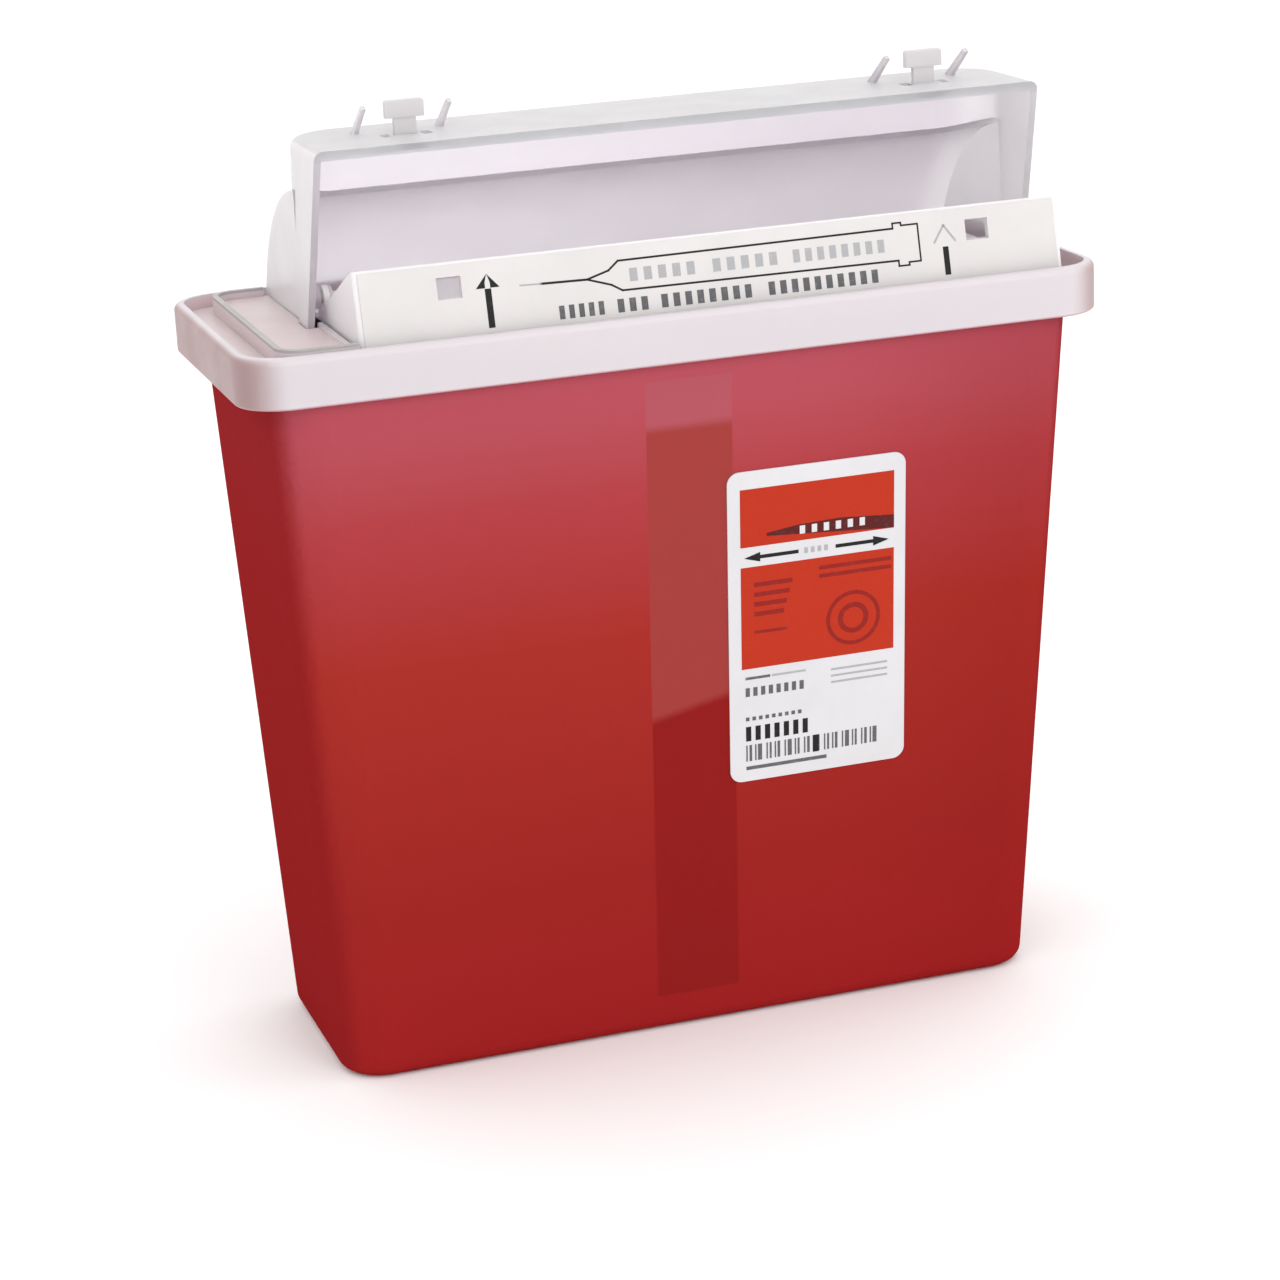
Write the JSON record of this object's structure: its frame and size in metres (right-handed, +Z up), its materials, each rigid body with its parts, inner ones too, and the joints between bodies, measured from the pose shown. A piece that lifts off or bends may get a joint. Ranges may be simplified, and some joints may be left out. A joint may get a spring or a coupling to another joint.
{
  "type": "sharps container",
  "caption": "Tapered plastic tub with a press-fit lid, an offset hood, a tilting drop tray and push-down lock tabs for used sharps.",
  "frame": {"origin": "centre of the lid's plan outline, on the surface that the tub stands on", "axes": "+Z up, -Y towards the front with the tray and label, +X to the right seen from the front"},
  "size_m": [0.279, 0.115, 0.3075],
  "materials": {
    "red_tub": "gloss translucent polypropylene",
    "natural_lid": "satin translucent polypropylene",
    "natural_hood": "satin translucent polypropylene",
    "natural_tray": "satin translucent polypropylene",
    "white_print": "printed film",
    "label_stock": "printed film",
    "pin": "satin",
    "black_ink": "printed ink",
    "grey_ink": "printed ink",
    "pale_ink": "printed ink",
    "orange_ink": "printed ink",
    "dark_orange_ink": "printed ink",
    "maroon_ink": "printed ink"
  },
  "bodies": {
    "container": {"container_body": "red_tub", "lid_base": "natural_lid", "hood_frame": "natural_hood", "hood_rear_shell": "natural_hood", "front_label": "label_stock"},
    "tray": {"tray_door": "natural_tray", "pivot_pins": "pin", "door_label": "white_print"},
    "left_lock": {"lock_tab_left": "natural_hood"},
    "right_lock": {"lock_tab_right": "natural_hood"}
  },
  "joints": [
    {"name": "tray_tilt", "type": "hinge", "parent": "container", "child": "tray", "pos_m": [0.012, -0.004, 0.249], "axis": [-1, 0, 0], "range_deg": [0, 76]},
    {"name": "left_tab_push", "type": "slide", "parent": "container", "child": "left_lock", "axis": [0, 0, -1], "range_m": [0, 0.0048]},
    {"name": "right_tab_push", "type": "slide", "parent": "container", "child": "right_lock", "axis": [0, 0, -1], "range_m": [0, 0.0048]}
  ]
}
